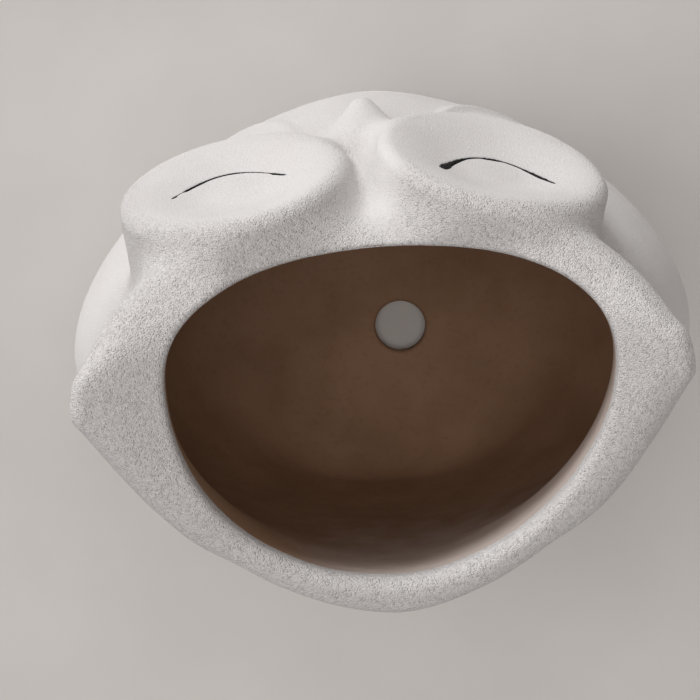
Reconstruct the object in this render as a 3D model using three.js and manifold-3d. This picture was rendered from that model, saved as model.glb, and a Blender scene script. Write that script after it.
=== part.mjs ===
// Owl planter: a hollow clay pot with a white sand coat, and an owl's face, ears and wings luted on.
// Millimetres, +Z up. The owl looks along -Y and its own left is +X. The origin lies on the table, under the
// middle of the whole owl.
import * as THREE from "three";
import { mergeVertices } from "three/addons/utils/BufferGeometryUtils.js";
import Module from "manifold-3d";

const wasm = await Module();
wasm.setup();
const { clamp, degToRad, lerp, smoothstep } = THREE.MathUtils;

// Heights of the pot.
const RIM_HEIGHT = 148;
const NECK_BELOW_RIM = 18;
const BELLY_BELOW_RIM = 89.5;

// Plan of the pot, measured from its axis. The widest line of the belly and the rim lies forward of the axis.
// A half's power says how square it is: 2 is an ellipse, which the foot and the belly's back are.
const FOOT_RADIUS = 50;
const BELLY_HALF_WIDTH = 84;
const BELLY_FRONT = 72.2;
const BELLY_BACK = 53.5;
const BELLY_FORWARD = 5.5;
const BELLY_FRONT_POWER = 1.72;
const RIM_HALF_WIDTH = 67;
const RIM_FRONT = 46;
const RIM_BACK = 52.6;
const RIM_FORWARD = 7.5;
const RIM_FRONT_POWER = 2.3;
const RIM_BACK_POWER = 1.72;
const MOUTH_BACK_POWER = 1.92;

// Walls, edges and holes.
const WALL = 6.5;
const FLOOR = 7;
const LIP_SIDE = 12.2;
const LIP_FRONT = 8.9;
const LIP_BACK = 9.3;
const LIP_BAND = 3;
const MOUTH_TO_RIGHT = 2.1;
const COAT = 1.2;
const COAT_START = 5;
const COAT_BELOW_LIP = 1;
const GAP = 0.3;
const FOOT_ROUND = 3;
const RIM_ROUND = 4.5;
const LIP_ROUND = 3.6;
const FLOOR_ROUND = 10;
const RIM_RISE = 2.5;
const RIM_DIP = 8;
const DRAIN_DIAMETER = 15;
const DRAIN_TO_RIGHT = 5.4;
const FOOT_RING_WIDTH = 9;
const FOOT_RECESS = 2;

// Bridge: a soft swelling of the body between the eyes, from the rim down to the beak. A strip of its coat
// stays plain, nearer to the left eye, which turns outwards less.
const BRIDGE_RELIEF = 9;
const BRIDGE_HALF_WIDTH = 13;
const BRIDGE_HALF_LENGTH = 26;
const BRIDGE_BELOW_RIM = 38;
const BRIDGE_STRIP = 4;
const BRIDGE_STRIP_TO_LEFT = 1.3;

// Eyes: dished drums that widen towards their base, lean back and turn outwards, the right one further.
// Each has an inlaid closed-eye line.
const EYE_RADIUS = 30;
const EYE_BASE_RADIUS = 31;
const EYE_GAP = 8;
const EYE_DEPTH = 20;
const EYE_PROUD = 9.4;
const EYE_BELOW_RIM = 32.5;
const EYE_LEAN = degToRad(18.8);
const LEFT_EYE_TURN = degToRad(7.3);
const RIGHT_EYE_TURN = degToRad(17.4);
const EYE_BORDER = 7;
const DISH_DEPTH = 3.5;
const LID_HALF_WIDTH = 14.6;
const LID_OUTWARD = 1.6;
const LID_LINE_RADIUS = 0.8;
const LID_LINE_SINK = 0.7;
const LEFT_LID_DROP = 10.1;
const LEFT_LID_BELOW_CENTRE = 0.8;
const LEFT_LID_TURN = degToRad(-4);
const RIGHT_LID_DROP = 13.5;
const RIGHT_LID_BELOW_CENTRE = -6.5;
const RIGHT_LID_TURN = degToRad(-12);

// Beak: an oval cone that points forward and down. The middle of its root lies just behind the body's skin.
const BEAK_ROOT_RADIUS = 13;
const BEAK_TIP_RADIUS = 4;
const BEAK_LENGTH = 19;
const BEAK_BELOW_EYES = 25.5;
const BEAK_ROOT_SINK = 7.4;
const BEAK_DROOP = degToRad(26);
const BEAK_ROOT_HALF_HEIGHT = 15;

// Ear tufts: blunt cones, wider than tall, that climb outwards from the rim's corners.
const EAR_ROOT_RADIUS = 15;
const EAR_TIP_RADIUS = 3.2;
const EAR_LENGTH = 35.4;
const EAR_ROOT_INSIDE_RIM = 21;
const EAR_ROOT_BELOW_RIM = 14;
const EAR_FORWARD = 4;
const EAR_CLIMB = degToRad(36);
const EAR_TURN = degToRad(8);
const EAR_ROOT_HALF_WIDTH = 33;

// Wings: leaf-shaped plates folded round the sides. They start level with the coat and rise to their edges.
const WING_TOP_BELOW_NECK = 26;
const WING_TIP_HEIGHT = 18;
const WING_RELIEF = 1;
const WING_HALF_SPAN = degToRad(66);
const WING_MIDDLE = degToRad(-14);
const WING_SWEEP = degToRad(14);

// Facets.
const COLUMNS = 44;
const ROW_STEP = 11;
const ROUND_STEPS = 3;
const LATHE_SIDES = 30;
const WING_ROWS = 12;
const WING_COLUMNS = 18;

const NECK_HEIGHT = RIM_HEIGHT - NECK_BELOW_RIM;
const BELLY_HEIGHT = RIM_HEIGHT - BELLY_BELOW_RIM;
const FOOT = {
  half: FOOT_RADIUS,
  front: FOOT_RADIUS,
  back: FOOT_RADIUS,
  forward: 0,
  aside: 0,
  power: 2,
  backPower: 2,
};
const BELLY = {
  half: BELLY_HALF_WIDTH,
  front: BELLY_FRONT,
  back: BELLY_BACK,
  forward: BELLY_FORWARD,
  aside: 0,
  power: BELLY_FRONT_POWER,
  backPower: 2,
};
const RIM = {
  half: RIM_HALF_WIDTH,
  front: RIM_FRONT,
  back: RIM_BACK,
  forward: RIM_FORWARD,
  aside: 0,
  power: RIM_FRONT_POWER,
  backPower: RIM_BACK_POWER,
};
const MOUTH = {
  ...RIM,
  half: RIM_HALF_WIDTH - LIP_SIDE,
  front: RIM_FRONT - LIP_FRONT,
  back: RIM_BACK - LIP_BACK,
  aside: MOUTH_TO_RIGHT,
  backPower: MOUTH_BACK_POWER,
  bridge: 0,
};

function mixSections(a, b, share) {
  const mixed = {};
  for (const key of Object.keys(a)) mixed[key] = lerp(a[key], b[key], share);
  return mixed;
}

function insetSection(section, inset) {
  const { half, front, back } = section;
  return { ...section, half: half - inset, front: front - inset, back: back - inset };
}

// The body's outer section: a round swell from the foot to the belly, then an S-curve up to the neck.
function bodySection(z) {
  const away = clamp((z - RIM_HEIGHT + BRIDGE_BELOW_RIM) / BRIDGE_HALF_LENGTH, -1, 1);
  const bridge = BRIDGE_RELIEF * Math.cos(away * (Math.PI / 2)) ** 2;
  if (z <= BELLY_HEIGHT) {
    const swell = Math.sin((z / BELLY_HEIGHT) * (Math.PI / 2));
    return { ...mixSections(FOOT, BELLY, swell), bridge };
  }
  const climb = Math.min((z - BELLY_HEIGHT) / (NECK_HEIGHT - BELLY_HEIGHT), 1);
  return { ...mixSections(BELLY, RIM, (1 - Math.cos(climb * Math.PI)) / 2), bridge };
}

// The hollow's section: one wall inside the body, drawn in to the mouth above the shoulder.
function hollowSection(z) {
  const shoulder = (BELLY_HEIGHT + NECK_HEIGHT) / 2;
  const share = smoothstep(z, shoulder, RIM_HEIGHT - RIM_ROUND);
  return mixSections(insetSection(bodySection(z), WALL), MOUTH, share);
}

// One point of a section's outline: turn 0 is the owl's left and a quarter turn is its back.
// Above the belly the outline climbs towards the ears and dips behind the eyes, most at the rim.
function outlinePoint(section, turn, z) {
  const across = Math.cos(turn);
  const along = Math.sin(turn);
  const power = along < 0 ? section.power : section.backPower;
  const reach = along < 0 ? section.front - section.forward : section.back + section.forward;
  const x = section.half * Math.sign(across) * Math.abs(across) ** (2 / power) - section.aside;
  const bridge = along < 0 ? section.bridge * Math.exp(-((x / BRIDGE_HALF_WIDTH) ** 2)) : 0;
  const y = reach * Math.sign(along) * Math.abs(along) ** (2 / power) - section.forward - bridge;
  const rise = RIM_RISE * across ** 4 - RIM_DIP * smoothstep(-along, 0.2, 0.8);
  return new THREE.Vector3(x, y, z + rise * smoothstep(z, BELLY_HEIGHT, RIM_HEIGHT));
}

function ringAt(section, z) {
  const ring = [];
  for (let column = 0; column < COLUMNS; column++) {
    ring.push(outlinePoint(section, (column / COLUMNS) * 2 * Math.PI, z));
  }
  return ring;
}

// How far a rounded edge of this radius draws in at a given distance from the edge.
function roundInset(radius, distance) {
  if (distance >= radius) return 0;
  return radius - Math.sqrt(radius ** 2 - (radius - distance) ** 2);
}

// Heights from bottom to top, close together within the rounded ends.
function rowHeights(bottom, top, bottomRound, topRound) {
  const rows = [];
  for (let i = 0; i < ROUND_STEPS; i++) {
    rows.push(bottom + bottomRound * (1 - Math.cos((i / ROUND_STEPS) * (Math.PI / 2))));
  }
  const straight = top - topRound - bottom - bottomRound;
  const count = Math.ceil(straight / ROW_STEP);
  for (let i = 0; i <= count; i++) rows.push(bottom + bottomRound + (straight * i) / count);
  for (let i = 1; i <= ROUND_STEPS; i++) {
    rows.push(top - topRound * (1 - Math.sin((i / ROUND_STEPS) * (Math.PI / 2))));
  }
  return rows;
}

// A closed solid through stacked outlines, with a fan to the middle at each end.
function loft(rings) {
  const columns = rings[0].length;
  const lastRow = (rings.length - 1) * columns;
  const points = rings.flat();
  const bottom = points.push(ringMiddle(rings[0])) - 1;
  const top = points.push(ringMiddle(rings[rings.length - 1])) - 1;
  const index = [];
  for (let column = 0; column < columns; column++) {
    const next = (column + 1) % columns;
    for (let row = 0; row < lastRow; row += columns) {
      index.push(row + column, row + next, row + columns + next);
      index.push(row + column, row + columns + next, row + columns + column);
    }
    index.push(bottom, next, column);
    index.push(top, lastRow + column, lastRow + next);
  }
  return new THREE.BufferGeometry().setFromPoints(points).setIndex(index);
}

function ringMiddle(ring) {
  const middle = new THREE.Vector3();
  for (const point of ring) middle.add(point);
  return middle.divideScalar(ring.length);
}

// A closed plate between two grids of points of the same size.
function plate(outer, inner) {
  const rows = outer.length;
  const columns = outer[0].length;
  const front = (row, column) => row * columns + column;
  const back = (row, column) => (rows + row) * columns + column;
  const index = [];
  const quad = (a, b, c, d) => index.push(a, b, c, a, c, d);
  for (let row = 0; row + 1 < rows; row++) {
    for (let column = 0; column + 1 < columns; column++) {
      quad(front(row, column), front(row + 1, column), front(row + 1, column + 1), front(row, column + 1));
      quad(back(row, column), back(row, column + 1), back(row + 1, column + 1), back(row + 1, column));
    }
    const last = columns - 1;
    quad(front(row + 1, 0), front(row, 0), back(row, 0), back(row + 1, 0));
    quad(front(row, last), front(row + 1, last), back(row + 1, last), back(row, last));
  }
  for (let column = 0; column + 1 < columns; column++) {
    const last = rows - 1;
    quad(front(0, column), front(0, column + 1), back(0, column + 1), back(0, column));
    quad(front(last, column + 1), front(last, column), back(last, column), back(last, column + 1));
  }
  return new THREE.BufferGeometry().setFromPoints([...outer.flat(), ...inner.flat()]).setIndex(index);
}

// The filled body, drawn in by one inset above the coat's lower edge and by another below it.
function bodyShape(inset, footInset, coatStart) {
  const top = RIM_HEIGHT - inset;
  const rows = rowHeights(0, top, FOOT_ROUND, RIM_ROUND - inset);
  rows.push(coatStart, coatStart + GAP / 10);
  rows.sort((a, b) => a - b);
  const rings = rows.map((z) => {
    const rounding = roundInset(FOOT_ROUND, z) + roundInset(RIM_ROUND - inset, top - z);
    const drawnIn = z > coatStart ? inset : footInset;
    return ringAt(insetSection(bodySection(z), rounding + drawnIn), z);
  });
  return loft(rings);
}

// The hollow from a height up: a rounded lower corner and a lip that flares to the rim's crest.
// It goes on above the ears.
function hollowShape(bottom, bottomRound, grow) {
  const rows = rowHeights(bottom, RIM_HEIGHT, bottomRound, LIP_ROUND);
  const rings = rows.map((z) => {
    const corner = roundInset(bottomRound, z - bottom);
    const flare = roundInset(LIP_ROUND, RIM_HEIGHT - z);
    return ringAt(insetSection(hollowSection(z), corner - flare - grow), z);
  });
  rings.push(ringAt(insetSection(MOUTH, -LIP_ROUND - grow), RIM_HEIGHT + EAR_LENGTH));
  return loft(rings);
}

// A cone with a ball at each end, along +Y from its root ball's middle to the tip's end.
function coneShape(rootRadius, tipRadius, length, grow) {
  const root = rootRadius + grow;
  const tip = tipRadius + grow;
  const between = length - tipRadius;
  const slope = Math.asin((root - tip) / between);
  const profile = [];
  for (let i = 0; i <= 6; i++) {
    const angle = lerp(-Math.PI / 2, slope, i / 6);
    profile.push(new THREE.Vector2(root * Math.cos(angle), root * Math.sin(angle)));
  }
  for (let i = 0; i <= 4; i++) {
    const angle = lerp(slope, Math.PI / 2, i / 4);
    profile.push(new THREE.Vector2(tip * Math.cos(angle), between + tip * Math.sin(angle)));
  }
  profile[0].x = 0;
  profile[profile.length - 1].x = 0;
  return new THREE.LatheGeometry(profile, LATHE_SIDES);
}

// Depth of the dish below the border's crest, at a distance from the drum's axis.
function dishDepth(distance) {
  const crest = EYE_RADIUS - EYE_BORDER / 2;
  return DISH_DEPTH * smoothstep(crest - distance, 0, crest * 0.75);
}

// A dished drum along +Y, widening towards its base, its border's crest at height 0.
function drumShape(grow) {
  const crest = EYE_RADIUS - EYE_BORDER / 2;
  const round = EYE_BORDER / 2 + grow;
  const profile = [new THREE.Vector2(0, -EYE_DEPTH), new THREE.Vector2(EYE_BASE_RADIUS + grow, -EYE_DEPTH)];
  for (let i = 0; i <= 4; i++) {
    const angle = (i / 4) * (Math.PI / 2);
    profile.push(new THREE.Vector2(crest + round * Math.cos(angle), round * (Math.sin(angle) - 1) + grow));
  }
  for (let i = 7; i >= 0; i--) {
    const distance = (crest * i) / 8;
    profile.push(new THREE.Vector2(distance, grow - dishDepth(distance)));
  }
  return new THREE.LatheGeometry(profile, LATHE_SIDES);
}

// The closed-eye line: a round bar on a drooping arc, sunk into the dish, which faces +Y with its top at -Z.
function lidShape(outward, belowCentre, drop, turn, grow) {
  const points = [];
  for (let i = 0; i <= 12; i++) {
    const share = i / 6 - 1;
    const spot = new THREE.Vector2(share * LID_HALF_WIDTH, drop * (1 - share ** 2));
    spot.rotateAround(new THREE.Vector2(), turn);
    spot.x += outward;
    spot.y += belowCentre;
    points.push(new THREE.Vector3(spot.x, -dishDepth(spot.length()) - LID_LINE_SINK, spot.y));
  }
  const section = new THREE.Shape().absarc(0, 0, LID_LINE_RADIUS + grow, 0, 2 * Math.PI);
  const extrudePath = new THREE.CatmullRomCurve3(points);
  const options = { steps: 18, curveSegments: 4, extrudePath, bevelEnabled: false };
  return new THREE.ExtrudeGeometry(section, options);
}

// A wing plate from inside the clay wall to its raised outer face. It narrows to a blunt tip as it falls.
function wingShape(side, grow) {
  const outer = [];
  const inner = [];
  for (let row = 0; row <= WING_ROWS; row++) {
    const fall = (0.985 * row) / WING_ROWS;
    const top = NECK_HEIGHT - WING_TOP_BELOW_NECK + grow;
    const z = lerp(top, WING_TIP_HEIGHT - grow, fall);
    const section = bodySection(z);
    const halfSpan = WING_HALF_SPAN * (1 - fall ** 2) ** 0.6 + grow / section.half;
    const middle = WING_MIDDLE + WING_SWEEP * fall ** 2;
    const outerRow = [];
    const innerRow = [];
    for (let column = 0; column <= WING_COLUMNS; column++) {
      const share = (side * (2 * column - WING_COLUMNS)) / WING_COLUMNS;
      const leftTurn = middle + halfSpan * Math.sign(share) * (1 - (1 - Math.abs(share)) ** 1.5);
      const turn = side > 0 ? leftTurn : Math.PI - leftTurn;
      const relief = WING_RELIEF * smoothstep(fall, 0, 0.3) * Math.sqrt(1 - 0.8 * share ** 6);
      outerRow.push(outlinePoint(insetSection(section, -relief - grow), turn, z));
      innerRow.push(outlinePoint(insetSection(section, WALL / 2), turn, z));
    }
    outer.push(outerRow);
    inner.push(innerRow);
  }
  return plate(outer, inner);
}

function uprightRod(radius, height) {
  return new THREE.CylinderGeometry(radius, radius, height, LATHE_SIDES).rotateX(Math.PI / 2);
}

function solidOf(geometry, matrix = new THREE.Matrix4()) {
  const bare = new THREE.BufferGeometry();
  bare.setAttribute("position", geometry.attributes.position.clone());
  bare.setIndex(geometry.index);
  const merged = mergeVertices(bare.applyMatrix4(matrix), 1e-4);
  const vertProperties = merged.attributes.position.array;
  const triVerts = new Uint32Array(merged.index.array);
  return new wasm.Manifold(new wasm.Mesh({ numProp: 3, vertProperties, triVerts }));
}

function geometryOf(solid) {
  const { vertProperties, triVerts } = solid.getMesh();
  const geometry = new THREE.BufferGeometry();
  geometry.setAttribute("position", new THREE.BufferAttribute(vertProperties, 3));
  geometry.setIndex(new THREE.BufferAttribute(triVerts, 1));
  geometry.computeVertexNormals();
  return geometry;
}

const clay = () => new THREE.MeshStandardMaterial({ color: 0x8a6a52, roughness: 0.9, metalness: 0 });
const whiteSand = () => new THREE.MeshStandardMaterial({ color: 0xdedcdc, roughness: 0.95, metalness: 0 });
const blackInlay = () => new THREE.MeshStandardMaterial({ color: 0x1d1b1c, roughness: 0.7, metalness: 0 });

const owl = new THREE.Group();
const body = solidOf(bodyShape(0, 0, COAT_START));
const hollow = solidOf(hollowShape(FLOOR, FLOOR_ROUND, 0));
const plainBand = plainCoat(0);
const plainBandRoom = plainCoat(GAP);

// Where nothing is luted on: a band of the coat round the mouth, and a strip from there down to the beak.
function plainCoat(inset) {
  const band = solidOf(hollowShape(FLOOR, FLOOR_ROUND, LIP_BAND - inset));
  const height = EYE_BELOW_RIM + BEAK_BELOW_EYES - BEAK_ROOT_HALF_HEIGHT;
  const strip = new THREE.BoxGeometry(BRIDGE_STRIP - 2 * inset, 2 * BELLY_FRONT, height);
  strip.translate(BRIDGE_STRIP_TO_LEFT, -BELLY_FRONT, RIM_HEIGHT - height / 2);
  return band.add(solidOf(strip));
}

// The coat wraps over the lip to just below its rounding, so the clay core keeps clear of it there too.
function lipCoat(grow, below) {
  return solidOf(hollowShape(RIM_HEIGHT - LIP_ROUND - below, COAT_BELOW_LIP / 4, grow));
}
const coreShape = solidOf(bodyShape(COAT, 0, COAT_START));
const core = coreShape.subtract(lipCoat(COAT, COAT_BELOW_LIP));
const coreRoomShape = solidOf(bodyShape(COAT - GAP, -GAP, COAT_START + GAP));
const coreRoom = coreRoomShape.subtract(lipCoat(COAT - GAP, COAT_BELOW_LIP - GAP));
const windows = [];

function addPiece(group, name, solid, material) {
  const mesh = new THREE.Mesh(geometryOf(solid), material);
  mesh.name = name;
  group.add(mesh);
}

// Adds a luted piece: it is cut back to the clay wall, to where the coat stays plain and to the pieces
// luted before it, and leaves a window in the coat.
function lute(group, name, shape, ...cuts) {
  group.updateWorldMatrix(true, false);
  const inward = group.matrixWorld.clone().invert();
  let solid = solidOf(shape(0));
  for (const cut of cuts) solid = solid.subtract(cut);
  for (const other of [coreRoom, plainBand, ...windows]) {
    solid = solid.subtract(solidOf(geometryOf(other), inward));
  }
  windows.push(solidOf(shape(GAP), group.matrixWorld).subtract(plainBandRoom));
  addPiece(group, name, largestBody(solid), whiteSand());
}

// A chip that the cuts leave beside a piece falls away.
function largestBody(solid) {
  return solid.decompose().sort((a, b) => b.volume() - a.volume())[0];
}

function addEye(side, label, turn, lidBelowCentre, lidDrop, lidTurn) {
  const eye = new THREE.Group();
  const spread = EYE_GAP / 2 + EYE_RADIUS * Math.cos(turn);
  eye.position.set(side * spread, -RIM_FRONT - EYE_PROUD, RIM_HEIGHT - EYE_BELOW_RIM);
  eye.rotation.set(Math.PI - EYE_LEAN, 0, side * turn, "ZXY");
  owl.add(eye);
  const lid = (grow) => solidOf(lidShape(side * LID_OUTWARD, lidBelowCentre, lidDrop, lidTurn, grow));
  lute(eye, `eye_disc_${label}`, drumShape, lid(GAP));
  addPiece(eye, `eyelid_line_${label}`, lid(0), blackInlay());
}

function addBeak() {
  const beak = new THREE.Group();
  const height = RIM_HEIGHT - EYE_BELOW_RIM - BEAK_BELOW_EYES;
  beak.position.set(0, BEAK_ROOT_SINK - bodySection(height).front, height);
  beak.rotation.x = Math.PI + BEAK_DROOP;
  owl.add(beak);
  const stretch = BEAK_ROOT_HALF_HEIGHT / BEAK_ROOT_RADIUS;
  const cone = (grow) => coneShape(BEAK_ROOT_RADIUS, BEAK_TIP_RADIUS, BEAK_LENGTH, grow);
  lute(beak, "beak", (grow) => cone(grow).scale(1, 1, stretch));
}

function addEar(side, label) {
  const ear = new THREE.Group();
  const out = RIM_HALF_WIDTH - EAR_ROOT_INSIDE_RIM;
  ear.position.set(side * out, -EAR_FORWARD, RIM_HEIGHT - EAR_ROOT_BELOW_RIM);
  ear.rotation.set(EAR_CLIMB, 0, -side * (Math.PI / 2 + EAR_TURN), "ZXY");
  owl.add(ear);
  const stretch = EAR_ROOT_HALF_WIDTH / EAR_ROOT_RADIUS;
  const cone = (grow) => coneShape(EAR_ROOT_RADIUS, EAR_TIP_RADIUS, EAR_LENGTH, grow);
  lute(ear, `ear_tuft_${label}`, (grow) => cone(grow).scale(stretch, 1, 1));
}

addEye(1, "left", LEFT_EYE_TURN, LEFT_LID_BELOW_CENTRE, LEFT_LID_DROP, LEFT_LID_TURN);
addEye(-1, "right", RIGHT_EYE_TURN, RIGHT_LID_BELOW_CENTRE, RIGHT_LID_DROP, RIGHT_LID_TURN);
addBeak();
addEar(1, "left");
addEar(-1, "right");
lute(owl, "wing_left", (grow) => wingShape(1, grow));
lute(owl, "wing_right", (grow) => wingShape(-1, grow));

const drain = solidOf(uprightRod(DRAIN_DIAMETER / 2, 4 * FLOOR).translate(-DRAIN_TO_RIGHT, 0, 0));
const recess = solidOf(uprightRod(FOOT_RADIUS - FOOT_ROUND - FOOT_RING_WIDTH, 2 * FOOT_RECESS));
addPiece(owl, "clay_vessel", core.subtract(hollow).subtract(drain).subtract(recess), clay());

let coat = body.subtract(coreRoom).subtract(hollow);
for (const window of windows) coat = coat.subtract(window);
addPiece(owl, "sand_coat", largestBody(coat), whiteSand());

// The owl's front reaches further from the pot's axis than its back, so the whole is moved to the origin.
const planter = new THREE.Group();
planter.add(owl);
const extent = new THREE.Box3().setFromObject(planter, true);
owl.position.y = -(extent.min.y + extent.max.y) / 2;

export default planter;
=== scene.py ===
# Owl planter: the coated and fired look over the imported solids.
# Shapes are in millimetres from the pot's axis, with +Z up. The owl looks along -Y and its left is +X.
import math
from collections import namedtuple

import bmesh
import bpy
import numpy as np
import openvdb
from mathutils import Matrix, Vector


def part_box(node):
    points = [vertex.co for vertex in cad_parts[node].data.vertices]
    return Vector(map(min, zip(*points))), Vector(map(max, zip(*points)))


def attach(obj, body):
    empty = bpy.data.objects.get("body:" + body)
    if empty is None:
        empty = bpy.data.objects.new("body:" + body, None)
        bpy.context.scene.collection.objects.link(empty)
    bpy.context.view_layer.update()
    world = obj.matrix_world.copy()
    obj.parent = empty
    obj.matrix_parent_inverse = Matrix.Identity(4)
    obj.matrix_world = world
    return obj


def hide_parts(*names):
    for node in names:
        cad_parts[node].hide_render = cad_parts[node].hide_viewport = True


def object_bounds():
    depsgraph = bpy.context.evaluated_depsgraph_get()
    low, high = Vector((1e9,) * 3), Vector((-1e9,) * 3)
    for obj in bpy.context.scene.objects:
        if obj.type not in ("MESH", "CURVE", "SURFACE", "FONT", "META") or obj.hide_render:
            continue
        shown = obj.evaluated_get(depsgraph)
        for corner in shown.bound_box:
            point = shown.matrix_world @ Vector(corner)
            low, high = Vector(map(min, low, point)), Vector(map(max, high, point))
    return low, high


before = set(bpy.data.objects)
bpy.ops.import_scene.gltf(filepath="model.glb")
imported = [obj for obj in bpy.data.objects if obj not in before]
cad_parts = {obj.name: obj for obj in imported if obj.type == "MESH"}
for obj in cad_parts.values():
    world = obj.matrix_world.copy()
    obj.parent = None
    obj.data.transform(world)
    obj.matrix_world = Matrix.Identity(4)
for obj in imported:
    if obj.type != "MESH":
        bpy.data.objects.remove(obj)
cad_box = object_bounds()

# Pot: heights, and plan sections. A section's powers say how square its front and back halves are. Skew makes
# its back squarer on the owl's left than on the right. Aside is how far it lies to the owl's right. Bridge is
# the height of the soft ridge between the eyes.
Section = namedtuple("Section", "half front back forward power back_power skew aside bridge")
RIM_HEIGHT = 148.0
NECK_HEIGHT = RIM_HEIGHT - 18.0
BELLY_HEIGHT = RIM_HEIGHT - 89.5
FOOT_RADIUS = 50.0
FOOT = Section(FOOT_RADIUS, FOOT_RADIUS, FOOT_RADIUS, 0.0, 2.0, 2.0, 0.0, 0.0, 0.0)
BELLY = Section(84.0, 72.2, 53.5, 5.5, 1.72, 2.0, 0.0, 0.0, 0.0)
RIM = Section(67.0, 46.0, 52.6, 7.5, 2.3, 1.72, 0.0, 0.0, 0.0)
LIP_SIDE, LIP_FRONT, LIP_BACK = 12.2, 8.9, 9.3
MOUTH = RIM._replace(
    half=RIM.half - LIP_SIDE,
    front=RIM.front - LIP_FRONT,
    back=RIM.back - LIP_BACK,
    back_power=1.95,
    skew=0.15,
    aside=2.1,
)
BRIDGE_RELIEF = 13.5
BRIDGE_HALF_WIDTH = 10.5
BRIDGE_TO_RIGHT = 5.5
BRIDGE_HALF_LENGTH = 26.0
BRIDGE_MIDDLE = RIM_HEIGHT - 38.0
BRIDGE_FROM_SIDE = 0.5
BRIDGE_ROUND = 19.0
BRIDGE_ROUND_WIDTH = 15.0
FRONT_FROM, FRONT_TO = 0.2, 0.8
WALL = 6.5
FLOOR = 7.0
COAT = 1.2
COAT_START = 5.0
FOOT_ROUND = 3.0
RIM_ROUND = 4.5
LIP_ROUND = 3.6
LIP_ROUND_FRONT = 1.4
COAT_BELOW_LIP = 1.0
FLOOR_ROUND = 10.0
RIM_RISE = 2.5
RIM_DIP = 8.0
LIP_DROP = 2.5
LIP_DROP_AT_EARS = 1.5
LIP_DROP_ENDS = 1.3
EARS_FROM, EARS_TO = 0.75, 0.97
DRAIN_RADIUS = 7.5
DRAIN_TO_RIGHT = 5.4
FOOT_RING_WIDTH = 9.0
FOOT_RECESS = 2.0
HOLE_ROUND = 1.2
LUMPS_BROAD, LUMPS_FINE = 0.16, 0.07

# Eyes, beak, ears and wings.
EYE_RADIUS = 30.0
EYE_BASE_RADIUS = 31.0
EYE_GAP = 8.0
EYE_DEPTH = 20.0
EYE_ROOT_DEPTH = 30.0
EYE_LEAN = math.radians(18.8)
EYE_TURN = {1: math.radians(7.3), -1: math.radians(17.4)}
EYE_BORDER = 7.0
EYE_FORWARD = RIM.front + 9.4
EYE_HEIGHT = RIM_HEIGHT - 32.5
DISH_DEPTH = 3.5
DISH_SLOPE = 0.75
LID_HALF_WIDTH = 14.6
LID_OUTWARD = 1.6
LID_GROOVE = 0.3
LID_DEPTH = 0.7
LID_OVERHANG = 0.05
LID_POINTS = 181
LID_CUTS = ((4.0, 1), (2.6, 2))
LIDS = {1: (0.8, 10.1, math.radians(-4.0), 2.0), -1: (-6.5, 13.5, math.radians(-12.0), 2.3)}
LID_PLACES = {
    1: (0.0, 0.09, 0.12, 0.32, 0.42, 0.66, 0.73, 0.87, 0.90, 0.95, 0.97, 1.0),
    -1: (0.0, 0.08, 0.17, 0.23, 0.38, 0.42, 0.52, 0.57, 0.72, 0.80, 0.90, 0.95, 1.0),
}
LID_HALF_THICKNESS = {
    1: (0.24, 0.38, 0.09, 0.09, 0.24, 0.28, 0.40, 0.40, 0.08, 0.08, 0.26, 0.14),
    -1: (0.20, 0.62, 0.52, 0.26, 0.28, 0.68, 0.72, 0.34, 0.40, 0.62, 0.78, 1.15, 0.85),
}
BEAK_ROOT, BEAK_TIP, BEAK_LENGTH = 13.0, 4.0, 19.0
BEAK_HEIGHT = EYE_HEIGHT - 25.5
BEAK_DROOP = math.radians(26.0)
BEAK_STRETCH = 15.0 / BEAK_ROOT
BEAK_ROOT_SINK = 7.4
EAR_ROOT, EAR_TIP, EAR_LENGTH = 15.0, 3.2, 35.4
EAR_PLACE = (RIM.half - 21.0, -4.0, RIM_HEIGHT - 14.0)
EAR_CLIMB = math.radians(36.0)
EAR_TURN = math.radians(8.0)
EAR_STRETCH = 33.0 / EAR_ROOT
EAR_POWER = 3.5
WING_TOP = NECK_HEIGHT - 26.0
WING_TIP = 18.0
WING_RELIEF = 1.0
WING_FRONT_RELIEF = 0.4
WING_BEAD = {1: 0.225, -1: 0.9}
WING_BEAD_INSET = 2.5
WING_BEAD_WIDTH = 2.0
WING_HALF_SPAN = math.radians(66.0)
WING_MIDDLE = math.radians(-14.0)
WING_SWEEP = math.radians(14.0)
WING_TAPER = 0.6
WING_END = 0.999
OFF_WING = 9.0
WING_EDGE = (-0.8, 2.6)
WING_FADE = 0.3
WING_SEAM = 0.6
WING_SEAM_BELOW_TOP = 2.0

# Softness of the creases where the parts meet.
EYE_CREASE = 5.0
EYE_RIM_CREASE = 6.0
EYES_CREASE = 2.0
BEAK_CREASE = 4.0
EAR_CREASE = 9.0

# The sampled surface and its skins.
CELL = 1.1
MARGIN = 3.0
SKIN = 1.0
EYE_SKIN = 2.6
FOOT_CUT = 1.2
CLAY_TUCK = 0.3
CLAY_BELOW_RIM = 3.0
CORE_INSET_AT_RIM = 4.0
CORE_BELOW_SKIN = 0.4
COLUMNS = 160

# Where the coat ends inside the mouth and above the foot, where the overspray lies with a painted pool of
# light over it, and where the sand grain is rubbed smoother.
COAT_IN_MOUTH = 9.0
COAT_FADE = 0.8
COAT_LOWER_AT_BACK = 1.5
COAT_LOWER_AT_BRIDGE = 6.0
COAT_BRIDGE_WIDTH = 20.0
COAT_BACK = (-10.0, 30.0)
COAT_FRONT = (0.0, -20.0)
FOOT_FADE = 1.6
DUST_AND_LIGHT_DEPTH = 115.0
DUST_AND_LIGHT_TOWARDS = (-0.6, 0.8)
DUST_AND_LIGHT_FROM, DUST_AND_LIGHT_TO = -0.1, 0.9
NEAR_WALL = 3.0
RUBBED = 0.6
RUBBED_BELOW_EYES = 25.0
RUBBED_BELOW_RIM = 10.0
RUBBED_FRONT = (-25.0, -35.0)
ON_FACE = 8.0

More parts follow.
